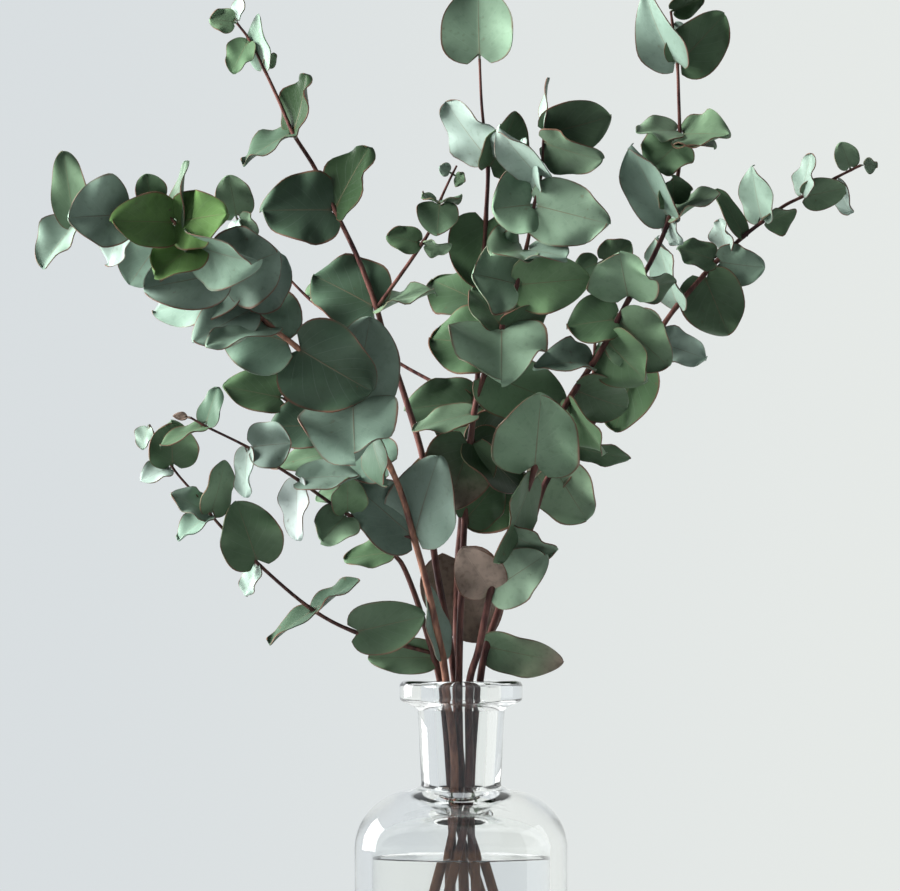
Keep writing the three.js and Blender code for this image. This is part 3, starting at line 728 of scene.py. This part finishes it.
# Bark pattern, drawn out along the height
STREAK_STRETCH = (1.0, 1.0, 0.18)
STREAK_SCALE = 420.0
STREAK_SHARE = 0.8
PATCH_SCALE = 38.0
PATCH_SHARE = 0.6
LIGHT_BARK_EDGE = (0.5, 0.9)
# Painted light below the water: how far above the water it fades, and its even and streaky shares
UNDERWATER_LIGHT_RISE = 5 * MM
UNDERWATER_LIGHT_EVEN = 0.4
UNDERWATER_LIGHT_STREAKY = 0.8
BARK_ROUGHNESS = 0.42
STREAK_ROUGHNESS = 0.2
BARK_BUMP = 0.5
BARK_BUMP_DEPTH = 0.3 * MM


def bark_finish(name, dark, light, lit_in_water):
    """Smooth bark with lighter streaks, and painted light below the water"""
    finish = Finish(name)
    place = finish.object_place()
    stretched = finish.node("ShaderNodeMapping", inputs={"Vector": place, "Scale": STREAK_STRETCH})
    streak = finish.noise(stretched, STREAK_SCALE)
    patch = finish.noise(place, PATCH_SCALE)
    lightness = (streak * STREAK_SHARE + patch * PATCH_SHARE).step(*LIGHT_BARK_EDGE)
    dry_bark = finish.mix(lightness, opaque(dark), opaque(light))
    # Painted light: bark below the water is mixed towards the lighter orange colour
    in_water = 1.0 - finish.axis(place, 2).step(WATER_HIGH.z, WATER_HIGH.z + UNDERWATER_LIGHT_RISE)
    painted_light_in_water = in_water * (UNDERWATER_LIGHT_EVEN + streak * UNDERWATER_LIGHT_STREAKY)
    finish.set(
        Base_Color=finish.mix(painted_light_in_water, dry_bark, opaque(lit_in_water)),
        Specular_IOR_Level=DULL_SPECULAR,
        Roughness=BARK_ROUGHNESS + streak * STREAK_ROUGHNESS,
        Normal=finish.bump(streak, BARK_BUMP, BARK_BUMP_DEPTH))
    return finish.material


# Glass and water pattern
SMUDGE_SCALE = 30.0
SMUDGE_EDGE = (0.5, 0.8)
SWIRL_SCALE = 16.0
SWIRL_DETAIL = 1.0
SWIRL_BUMP = 0.3
SWIRL_DEPTH = 2.0 * MM


def clear_finish(name, bend, tint, smear=0.0):
    """Clear glass or water with faint swirls, and with smears where it is touched"""
    finish = Finish(name)
    place = finish.object_place()
    roughness = 0.0
    if smear:
        roughness = finish.noise(place, SMUDGE_SCALE).step(*SMUDGE_EDGE) * smear
    swirl = finish.noise(place, SWIRL_SCALE, SWIRL_DETAIL)
    finish.set(
        Base_Color=opaque(tint),
        Transmission_Weight=1.0,
        IOR=bend,
        Roughness=roughness,
        Normal=finish.bump(swirl, SWIRL_BUMP, SWIRL_DEPTH))
    return finish.material


# Modelling helpers
def deselect():
    """Leaves edit mode, with nothing selected"""
    if bpy.context.object and bpy.context.object.mode != "OBJECT":
        bpy.ops.object.mode_set(mode="OBJECT")
    bpy.ops.object.select_all(action="DESELECT")


def only(piece):
    """Selects one piece alone"""
    deselect()
    piece.select_set(True)
    bpy.context.view_layer.objects.active = piece


def join(pieces):
    """Joins pieces into the first of them"""
    deselect()
    for piece in pieces:
        piece.select_set(True)
    bpy.context.view_layer.objects.active = pieces[0]
    bpy.ops.object.join()
    return pieces[0]


def arc(centre_radius, centre_height, across, up, start, end, steps):
    """Points of an elliptic arc in the plane of a turned profile, in degrees"""
    points = []
    for step in range(steps + 1):
        angle = math.radians(start + (end - start) * step / steps)
        points.append((centre_radius + across * math.cos(angle), centre_height + up * math.sin(angle)))
    return points


TURNED_MERGE = 0.01 * MM
TURNED_SMOOTHING = math.radians(40)


def turn(name, profile, steps):
    """A closed piece spun from a profile that starts and ends on the axis"""
    deselect()
    bpy.ops.mesh.primitive_plane_add()
    piece = bpy.context.object
    piece.name = name
    mesh = piece.data
    mesh.clear_geometry()
    mesh.from_pydata([(r, 0, z) for r, z in profile], [(i, i + 1) for i in range(len(profile) - 1)], [])
    bpy.ops.object.mode_set(mode="EDIT")
    bpy.ops.mesh.select_all(action="SELECT")
    bpy.ops.mesh.spin(steps=steps, angle=2 * math.pi, center=(0, 0, 0), axis=(0, 0, 1))
    bpy.ops.mesh.select_all(action="SELECT")
    bpy.ops.mesh.remove_doubles(threshold=TURNED_MERGE)
    bpy.ops.mesh.normals_make_consistent(inside=False)
    bpy.ops.object.mode_set(mode="OBJECT")
    bpy.ops.object.shade_smooth_by_angle(angle=TURNED_SMOOTHING)
    return piece


def hand_over(piece, node):
    """Hangs a piece on the body it rides on, and hides the node it stands for"""
    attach(piece, BODY)
    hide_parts(node)


# The bottle's turned shape
NECK_FILLET = 1.5 * MM
LIP_EDGE = 3 * MM
LIP_UNDERCUT = 2 * MM
MOUTH_EDGE = 2 * MM
SHOULDER_SWEEP = 84
LIP_SWEEP = 80
EDGE_STEPS = 8
SHOULDER_STEPS = 24
CAVITY_STEPS = 20
GLASS_BEND = 1.5
GLASS_TINT = (0.985, 0.995, 0.99)
GLASS_SMEAR = 0.02


def inner_profile(bottle, gap):
    """The cavity from its floor to the mouth, drawn in by a gap"""
    radius = BODY_RADIUS - bottle.wall - gap
    reach = radius - bottle.bore_low - NECK_FILLET
    rise = bottle.shoulder_top - bottle.wall - bottle.body_top
    foot = bottle.rounding
    floor = bottle.floor + gap
    mouth = bottle.bore_high + MOUTH_EDGE
    return [
        (0, floor),
        *arc(radius - foot, floor + foot, foot, foot, -90, 0, EDGE_STEPS),
        *arc(radius - reach, bottle.body_top, reach, rise, 0, SHOULDER_SWEEP, CAVITY_STEPS),
        (bottle.bore_low + 2 * NECK_FILLET, bottle.shoulder_top - 4.5 * NECK_FILLET),
        (bottle.bore_low + NECK_FILLET, bottle.shoulder_top - 3 * NECK_FILLET),
        (bottle.bore_low, bottle.shoulder_top),
        (bottle.bore_high, bottle.neck_top),
        *arc(mouth, BOTTLE_HEIGHT - MOUTH_EDGE, MOUTH_EDGE, MOUTH_EDGE, 180, 90, EDGE_STEPS),
    ]


def outer_profile(bottle):
    """The outside from the underside to the lip's top"""
    reach = BODY_RADIUS - bottle.neck_low - NECK_FILLET
    rise = bottle.shoulder_top - bottle.body_top
    foot = bottle.rounding
    lip = bottle.lip_radius - LIP_EDGE
    lip_low = bottle.neck_top + LIP_UNDERCUT + LIP_EDGE
    return [
        (0, 0),
        *arc(BODY_RADIUS - foot, foot, foot, foot, -90, 0, EDGE_STEPS),
        *arc(BODY_RADIUS - reach, bottle.body_top, reach, rise, 0, SHOULDER_SWEEP, SHOULDER_STEPS),
        (bottle.neck_low + NECK_FILLET / 5, bottle.shoulder_top + NECK_FILLET),
        (bottle.neck_low, bottle.shoulder_top + 2 * NECK_FILLET),
        (bottle.neck_high, bottle.neck_top - NECK_FILLET),
        (bottle.neck_high + NECK_FILLET, bottle.neck_top),
        *arc(lip, lip_low, LIP_EDGE, LIP_EDGE, -LIP_SWEEP, 0, EDGE_STEPS),
        *arc(lip, BOTTLE_HEIGHT - LIP_EDGE, LIP_EDGE, LIP_EDGE, 0, 90, EDGE_STEPS),
    ]


class EUCALYPTUS_OT_bottle(Operator):
    """Turns the clear glass bottle"""

    bl_idname = "eucalyptus.bottle"
    bl_label = "Glass bottle"

    def execute(self, context):
        bottle = context.scene.eucalyptus_bottle
        profile = outer_profile(bottle) + inner_profile(bottle, 0.0)[::-1]
        piece = turn("glass_bottle", profile, bottle.spin_steps)
        piece.data.materials.append(clear_finish("bottle_glass", GLASS_BEND, GLASS_TINT, GLASS_SMEAR))
        hand_over(piece, "bottle")
        return {"FINISHED"}


WATER_GAP = 0.3 * MM
MENISCUS_WIDTH = 1.6 * MM
MENISCUS_RISE = 0.7 * MM
MENISCUS_SHARES = (0.0, 0.15, 0.35, 0.6, 1.0)
MENISCUS_POWER = 3
WATER_BEND = 1.33
WATER_TINT = (1.0, 1.0, 1.0)


class EUCALYPTUS_OT_water(Operator):
    """Turns the water, with its edge drawn up the glass"""

    bl_idname = "eucalyptus.water"
    bl_label = "Water"

    def execute(self, context):
        bottle = context.scene.eucalyptus_bottle
        level = bottle.water_level - MENISCUS_RISE
        wall = [point for point in inner_profile(bottle, WATER_GAP) if point[1] < level]
        edge = wall[-1][0]
        meniscus = [
            (edge - MENISCUS_WIDTH * share, level + MENISCUS_RISE * (1 - share) ** MENISCUS_POWER)
            for share in MENISCUS_SHARES]
        piece = turn("water_fill", wall + meniscus + [(0, level)], bottle.spin_steps)
        piece.data.materials.append(clear_finish("clear_water", WATER_BEND, WATER_TINT))
        hand_over(piece, "water")
        return {"FINISHED"}


# Stems and blades
SMALLEST_STEP = 1e-4


def route_point(route, place):
    """The point at a place on a route, on a centripetal Catmull-Rom curve through its points"""
    points = [Vector(point) for point in route]
    last = len(points) - 1
    span = min(int(place), last - 1)
    share = place - span
    p1, p2 = points[span], points[span + 1]
    p0 = points[span - 1] if span > 0 else p1 * 2 - points[1]
    p3 = points[span + 2] if span + 2 <= last else p2 * 2 - points[last - 1]
    pairs = ((p0, p1), (p1, p2), (p2, p3))
    d0, d1, d2 = [max(math.sqrt((b - a).length), SMALLEST_STEP) for a, b in pairs]
    t1 = ((p1 - p0) / d0 - (p2 - p0) / (d0 + d1) + (p2 - p1) / d1) * d1
    t2 = ((p2 - p1) / d1 - (p3 - p1) / (d1 + d2) + (p3 - p2) / d2) * d1
    s2 = share * share
    s3 = s2 * share
    spot = (p1 * (2 * s3 - 3 * s2 + 1) + t1 * (s3 - 2 * s2 + share)
            + p2 * (3 * s2 - 2 * s3) + t2 * (s3 - s2))
    return spot * MM + Vector((0, 0, BOTTLE_HEIGHT))


SPAN_STEPS = 8
NODE_SWELL = 0.18
NODE_REACH = 0.12
ROD_RESOLUTION = 4


def rod(route, nodes, root, tip):
    """A round bark rod along a route, thinning to its tip and swollen where blades grow"""
    deselect()
    bpy.ops.curve.primitive_nurbs_path_add()
    piece = bpy.context.object
    piece.name = "rod"
    piece.location = (0, 0, 0)
    spline = piece.data.splines[0]
    spline.type = "POLY"
    spans = len(route) - 1
    count = spans * SPAN_STEPS + 1
    spline.points.add(count - len(spline.points))
    for step, point in enumerate(spline.points):
        place = step / SPAN_STEPS
        near = min(abs(place - node) for node in nodes)
        swell = 1 + NODE_SWELL * math.exp(-((near / NODE_REACH) ** 2))
        point.co = (*route_point(route, place), 1.0)
        point.radius = (root + (tip - root) * place / spans) * swell / MM
    piece.data.bevel_depth = MM
    piece.data.bevel_resolution = ROD_RESOLUTION
    piece.data.use_fill_caps = True
    piece.data.dimensions = "3D"
    only(piece)
    bpy.ops.object.convert(target="MESH")
    bpy.ops.object.shade_smooth()
    return piece


# A blade's sheet, its outline, and how it folds, waves and differs from the others
BLADE_ROWS = 22
BLADE_COLUMNS = 16
COLUMN_CROWDING = 1.25
STALK_ROWS = 1.5
STALK_HALF = 0.5 * MM
BASE_NOTCH = 0.16
BASE_BREADTH = 0.7
TIP_POINT = 0.22
TIP_POWER = 4
FOLD_DEPTH = 1.35
FOLD_SOFTNESS = 1.2 * MM
USUAL_WIDTH = 26 * MM
WAVE_GROWTH = 2.0
SIDE_LAG = 2.0
RIPPLE = 0.5
RIPPLE_BEATS = 5.0
SEED_STEP = 13
PHASES = (0, 6.3)
BEATS = (1.0, 2.1)
TWISTS = (-0.16, 0.16)
DISHES = (-0.12, 0.2)
UNEVENNESS = (-0.09, 0.09)
LOOK_SHIFTS = (-0.08, 0.08)
SHEET_MERGE = 0.004 * MM
SHEET_SMOOTHING = math.radians(60)


def blade_axes(heading, lean, roll):
    """Directions along a blade, across it and out of its face"""
    turn_angle, tilt = math.radians(heading), math.radians(lean)
    along = Vector((
        math.cos(turn_angle) * math.cos(tilt), -math.sin(tilt), math.sin(turn_angle) * math.cos(tilt)))
    face = Vector((0, -1, 0))
    face = (face - along * face.dot(along)).normalized()
    face.rotate(Quaternion(along, math.radians(roll)))
    return along, along.cross(face), face


def half_width(share):
    """Half width at a share of the length: broad near the base, drawn in at the tip"""
    skewed = 2 * share ** BASE_BREADTH - 1
    return math.sqrt(max(1 - skewed * skewed, 0.0)) * (1 - TIP_POINT * share ** TIP_POWER)


def blade(template, base, row, settings, chance):
    """One blade, shaped from a copy of the flat template"""
    _, heading, lean, roll, length, width, fold, curl, finish = row
    length, width = length * MM, width * MM
    along, across, face = blade_axes(heading, lean, roll)
    fold_rise = math.tan(math.radians(fold * FOLD_DEPTH))
    curl_drop = math.tan(math.radians(curl)) / 2
    stalk = settings.petiole / length
    phase = chance.uniform(*PHASES)
    beat = chance.uniform(*BEATS)
    twist = chance.uniform(*TWISTS)
    dish = chance.uniform(*DISHES)
    uneven = chance.uniform(*UNEVENNESS)
    wave_height = settings.edge_wave * width / USUAL_WIDTH
    mesh = template.data.copy()
    for vertex in mesh.vertices:
        step = (vertex.co.x + 1) / 2 * BLADE_ROWS
        side = math.copysign(abs(vertex.co.y) ** COLUMN_CROWDING, vertex.co.y)
        notch = 0.0
        if step < STALK_ROWS:
            share = stalk * step
            out = side * STALK_HALF
        else:
            grown = (1 - math.cos(math.pi * (step - 1) / (BLADE_ROWS - 1))) / 2
            share = stalk + (1 - stalk) * grown
            out = side * half_width(grown) * (1 + math.copysign(uneven, side)) * width / 2
            notch = BASE_NOTCH * (1 - share) ** 2 * abs(side)
        reach = share - notch
        turns = phase + beat * (2 * math.pi * share)
        wave = wave_height * side * side * math.sin(turns + SIDE_LAG * side)
        ripple = RIPPLE * wave * math.sin(2 * phase + RIPPLE_BEATS * beat * share)
        cupped = dish * 2 * out * out / width
        folded = (math.hypot(out, FOLD_SOFTNESS) - FOLD_SOFTNESS) * fold_rise
        rise = folded - curl_drop * length * share * share
        rise += (wave + ripple + twist * out + cupped) * min(1.0, share * WAVE_GROWTH)
        vertex.co = base + along * (reach * length) + across * out + face * rise
    spread_attributes(mesh, FINISHES[finish], chance)
    piece = bpy.data.objects.new("blade", mesh)
    bpy.context.scene.collection.objects.link(piece)
    return piece


def spread_attributes(mesh, looks, chance):
    """Writes a blade's looks on its points, each shifted a little"""
    for name, value in zip(LOOKS, looks):
        layer = mesh.attributes.new(name, "FLOAT", "POINT")
        shift = chance.uniform(*LOOK_SHIFTS) * (value > 0)
        level = min(max(value + shift, 0.0), 1.0)
        layer.data.foreach_set("value", [level] * len(mesh.vertices))


def blade_template():
    """A flat sheet with a chart: along the blade and across it"""
    deselect()
    bpy.ops.mesh.primitive_grid_add(x_subdivisions=BLADE_ROWS, y_subdivisions=BLADE_COLUMNS, size=2)
    return bpy.context.object


def thicken(blades, settings):
    """Joins the sheets and gives them their thickness, with the underside's own finish"""
    piece = join(blades)
    only(piece)
    bpy.ops.object.mode_set(mode="EDIT")
    bpy.ops.mesh.select_all(action="SELECT")
    bpy.ops.mesh.remove_doubles(threshold=SHEET_MERGE)
    bpy.ops.object.mode_set(mode="OBJECT")
    solid = piece.modifiers.new("thickness", "SOLIDIFY")
    solid.thickness = settings.blade_thickness
    solid.offset = 0.0
    solid.material_offset = 1
    bpy.ops.object.modifier_apply(modifier=solid.name)
    bpy.ops.object.shade_smooth_by_angle(angle=SHEET_SMOOTHING)
    return piece


def stretches(stem):
    """The stem and its twigs, each with whether it is a twig"""
    return [(stem, False)] + [(twig, True) for twig in stem["twigs"]]


# The one stem whose main rod has painted light: a lighter, golden copy of the bark
LIT_STEM = "stem_left_front"


class EUCALYPTUS_OT_leafy_stems(Operator):
    """Grows every stem with its twigs and blades"""

    bl_idname = "eucalyptus.leafy_stems"
    bl_label = "Leafy stems"

    def execute(self, context):
        settings = context.scene.eucalyptus_foliage
        upper = leaf_finish("leaf_upper_face", settings, under=False)
        under = leaf_finish("leaf_underside", settings, under=True)
        young_bark = bark_finish("young_bark", settings.bark_dark, settings.bark_light, settings.bark_lit_in_water)
        ripe_bark = bark_finish("ripe_bark", settings.lit_bark_dark, settings.lit_bark_light, settings.bark_lit_in_water)
        template = blade_template()
        for stem in LEAFY_STEMS:
            blades, rods = [], []
            for part, is_twig in stretches(stem):
                root = settings.twig_radius if is_twig else settings.stem_radius
                tip = settings.twig_tip if is_twig else settings.stem_tip
                nodes = [row[0] for row in part["blades"]]
                wood = rod(part["route"], nodes, root, tip)
                # Painted light: the front stem's main rod gets the lighter bark; its twigs keep the plain
                # bark
                is_lit = stem["node"] == LIT_STEM and not is_twig
                wood.data.materials.append(ripe_bark if is_lit else young_bark)
                rods.append(wood)
                for row in part["blades"]:
                    base = route_point(part["route"], row[0])
                    chance = random.Random(settings.seed + SEED_STEP * sum(row[1:6]))
                    blades.append(blade(template, base, row, settings, chance))
            foliage = thicken(blades, settings)
            for material in (upper, under):
                foliage.data.materials.append(material)
            piece = join([foliage, *rods])
            piece.name = stem["node"].replace("stem", "leafy_stem")
            hand_over(piece, stem["node"])
        bpy.data.objects.remove(template)
        return {"FINISHED"}


# Stage
SENSOR_WIDTH = 36.0
FLOOR_SIDES = 96
FLOOR_SPECK_SCALE = 6.0
FLOOR_ROUGHNESS = 0.8
LAMP_AIM = Vector((0.0, 0.0, 0.3))

# How far a direction points right, or back, where the surround starts to change and where it is done
RIGHT_EDGE = (-0.09, 0.09)
VIEWER_EDGE = (0.1, -0.7)

# Lamps: place in metres, size, the setting that holds its power, colour, and whether gloss mirrors it
LAMPS = {
    "window_left": ((-1.8, -0.1, 1.0), 1.3, "window_power", (1.0, 0.995, 0.98), False),
    "window_back": ((-1.6, 0.9, 0.55), 1.0, "back_power", (1.0, 1.0, 1.0), True),
    "wall_right": ((1.7, 0.1, 0.5), 1.2, "side_power", (0.97, 0.99, 1.0), True),
    "fill_front": ((0.9, -1.6, 1.3), 1.2, "fill_power", (0.95, 0.98, 1.0), True),
}


def lamp(name, place, size, power, colour, mirrored):
    """A square soft light that faces the foliage"""
    bpy.ops.object.light_add(type="AREA", location=place)
    piece = bpy.context.object
    piece.name = name
    piece.data.size = size
    piece.data.energy = power
    piece.data.color = colour
    piece.rotation_euler = (LAMP_AIM - Vector(place)).to_track_quat("-Z", "Y").to_euler()
    piece.visible_transmission = False
    piece.visible_glossy = mirrored


def backdrop(settings):
    """A plain pale surround, a little lighter on the right and dimmer on the viewer's side"""
    world = bpy.data.worlds.new("pale_surround")
    bpy.context.scene.world = world
    world.use_nodes = True
    nodes = Nodes(world.node_tree)
    way = nodes.node("ShaderNodeTexCoord", out="Generated")
    rightward = nodes.axis(way, 0).step(*RIGHT_EDGE)
    viewerward = nodes.axis(way, 1).step(*VIEWER_EDGE)
    behind = nodes.mix(rightward, opaque(settings.backdrop), opaque(settings.backdrop_right))
    dull = nodes.node("ShaderNodeLightPath", out="Is Diffuse Ray")
    surround = world.node_tree.nodes["Background"]
    nodes.feed(surround.inputs["Color"], nodes.mix(viewerward, behind, opaque(settings.room)))
    nodes.feed(surround.inputs["Strength"], 1.0 - dull * (1.0 - settings.ambient))


def view_camera(settings):
    """The level camera in front"""
    bpy.ops.object.camera_add(
        location=(settings.eye_aside, -settings.distance, settings.eye_height),
        rotation=(math.pi / 2, 0, 0))
    camera = bpy.context.object
    camera.data.sensor_width = SENSOR_WIDTH
    camera.data.lens = SENSOR_WIDTH * settings.distance / settings.frame_width
    camera.data.shift_y = settings.lift
    bpy.context.scene.camera = camera


def pale_floor(settings):
    """The round painted floor under the bottle"""
    bpy.ops.mesh.primitive_circle_add(
        vertices=FLOOR_SIDES, radius=settings.floor_radius, fill_type="NGON", location=(0, 0, 0))
    floor = bpy.context.object
    floor.name = "pale_floor"
    paint = Finish("floor_paint")
    speck = paint.noise(paint.object_place(), FLOOR_SPECK_SCALE)
    paint.set(
        Base_Color=paint.mix(speck, opaque(settings.floor_dark), opaque(settings.floor_light)),
        Roughness=FLOOR_ROUGHNESS)
    floor.data.materials.append(paint.material)


class EUCALYPTUS_OT_stage(Operator):
    """Sets the camera, the pale floor and the soft light"""

    bl_idname = "eucalyptus.stage"
    bl_label = "Stage"

    def execute(self, context):
        settings = context.scene.eucalyptus_stage
        deselect()
        view_camera(settings)
        backdrop(settings)
        pale_floor(settings)
        for name, (place, size, power, colour, mirrored) in LAMPS.items():
            lamp(name, place, size, getattr(settings, power), colour, mirrored)
        context.scene.view_settings.view_transform = "Standard"
        return {"FINISHED"}


class EUCALYPTUS_PT_panel(Panel):
    """Lists the pieces in the order they are made"""

    bl_label = "Eucalyptus in a bottle"
    bl_idname = "EUCALYPTUS_PT_panel"
    bl_space_type = "VIEW_3D"
    bl_region_type = "UI"
    bl_category = "Eucalyptus"

    def draw(self, context):
        for operator in STEPS:
            self.layout.operator(operator.bl_idname)


STEPS = (EUCALYPTUS_OT_stage, EUCALYPTUS_OT_bottle, EUCALYPTUS_OT_water, EUCALYPTUS_OT_leafy_stems)
SETTINGS = {
    "eucalyptus_bottle": BottleSettings,
    "eucalyptus_foliage": FoliageSettings,
    "eucalyptus_stage": StageSettings,
}
CLASSES = (*SETTINGS.values(), *STEPS, EUCALYPTUS_PT_panel)


def register():
    for cls in CLASSES:
        bpy.utils.register_class(cls)
    for name, group in SETTINGS.items():
        setattr(bpy.types.Scene, name, PointerProperty(type=group))


def unregister():
    for name in SETTINGS:
        delattr(bpy.types.Scene, name)
    for cls in reversed(CLASSES):
        bpy.utils.unregister_class(cls)


def main():
    register()
    bpy.ops.eucalyptus.stage()
    bpy.ops.eucalyptus.bottle()
    bpy.ops.eucalyptus.water()
    bpy.ops.eucalyptus.leafy_stems()


if __name__ == "__main__":
    main()
